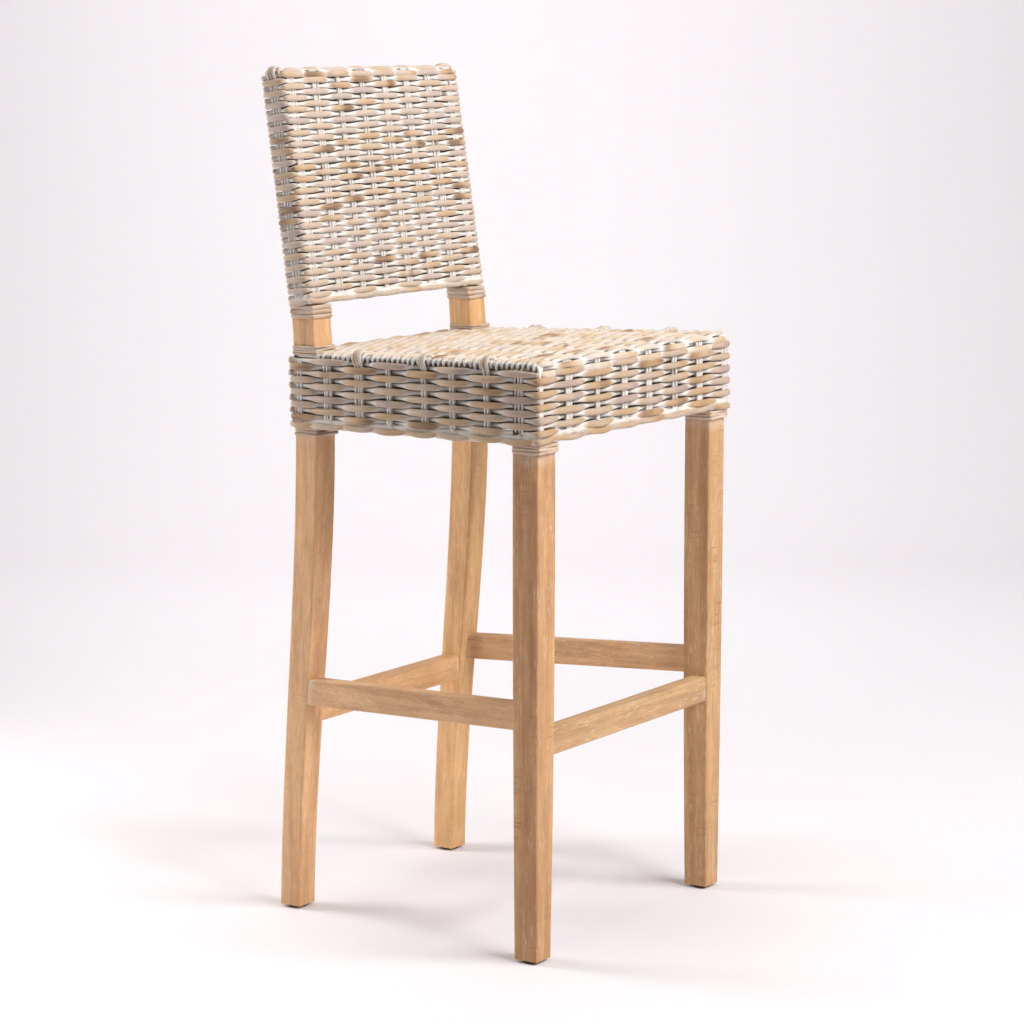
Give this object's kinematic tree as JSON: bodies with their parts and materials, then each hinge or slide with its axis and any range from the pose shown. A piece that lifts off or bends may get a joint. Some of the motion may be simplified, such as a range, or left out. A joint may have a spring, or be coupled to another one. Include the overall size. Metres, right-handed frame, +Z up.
{
  "type": "bar stool",
  "caption": "Bar-height side chair with a low raked back, tapered square legs, stretchers with a footrest, and a seat and back of woven rattan",
  "frame": {"origin": "on the floor under the middle of the stool's bounding box", "axes": "+Z up, the front of the seat and the footrest face -Y, +X to the right of someone who looks at the front"},
  "size_m": [0.4716, 0.4638, 1.1212],
  "materials": {
    "frame_wood": "light honey hardwood, sanded, dry matt finish with whitish residue at the joints",
    "inner_wood": "plain sawn hardwood, unfinished",
    "rattan": "whitewashed kubu rattan, tan to grey on the raised strands and white in the recesses",
    "cane": "thin whitewashed cane, wound tight",
    "glide_plastic": "black moulded plastic",
    "steel": "plain zinc-plated steel"
  },
  "bodies": {
    "root": {"back_rail_bottom": "inner_wood", "back_rail_middle": "inner_wood", "back_rail_top": "inner_wood", "corner_block_front_left": "inner_wood", "corner_block_front_right": "inner_wood", "corner_block_rear_left": "inner_wood", "corner_block_rear_right": "inner_wood", "corner_block_screws": "steel", "footrest": "frame_wood", "front_leg_left": "frame_wood", "front_leg_right": "frame_wood", "glide_front_left": "glide_plastic", "glide_front_right": "glide_plastic", "glide_nails": "steel", "glide_rear_left": "glide_plastic", "glide_rear_right": "glide_plastic", "leg_binding_front_left": "cane", "leg_binding_front_right": "cane", "leg_binding_rear_left": "cane", "leg_binding_rear_right": "cane", "panel_binding_left": "cane", "panel_binding_right": "cane", "post_binding_left": "cane", "post_binding_right": "cane", "rear_leg_left": "frame_wood", "rear_leg_right": "frame_wood", "rear_stretcher": "frame_wood", "seat_batten_left": "inner_wood", "seat_batten_right": "inner_wood", "seat_rail_front": "inner_wood", "seat_rail_left": "inner_wood", "seat_rail_rear": "inner_wood", "seat_rail_right": "inner_wood", "side_stretcher_left": "frame_wood", "side_stretcher_right": "frame_wood", "woven_back": "rattan", "woven_back_border": "rattan", "woven_seat_border": "rattan", "woven_seat_rim": "rattan", "woven_seat_top": "rattan"}
  },
  "joints": []
}
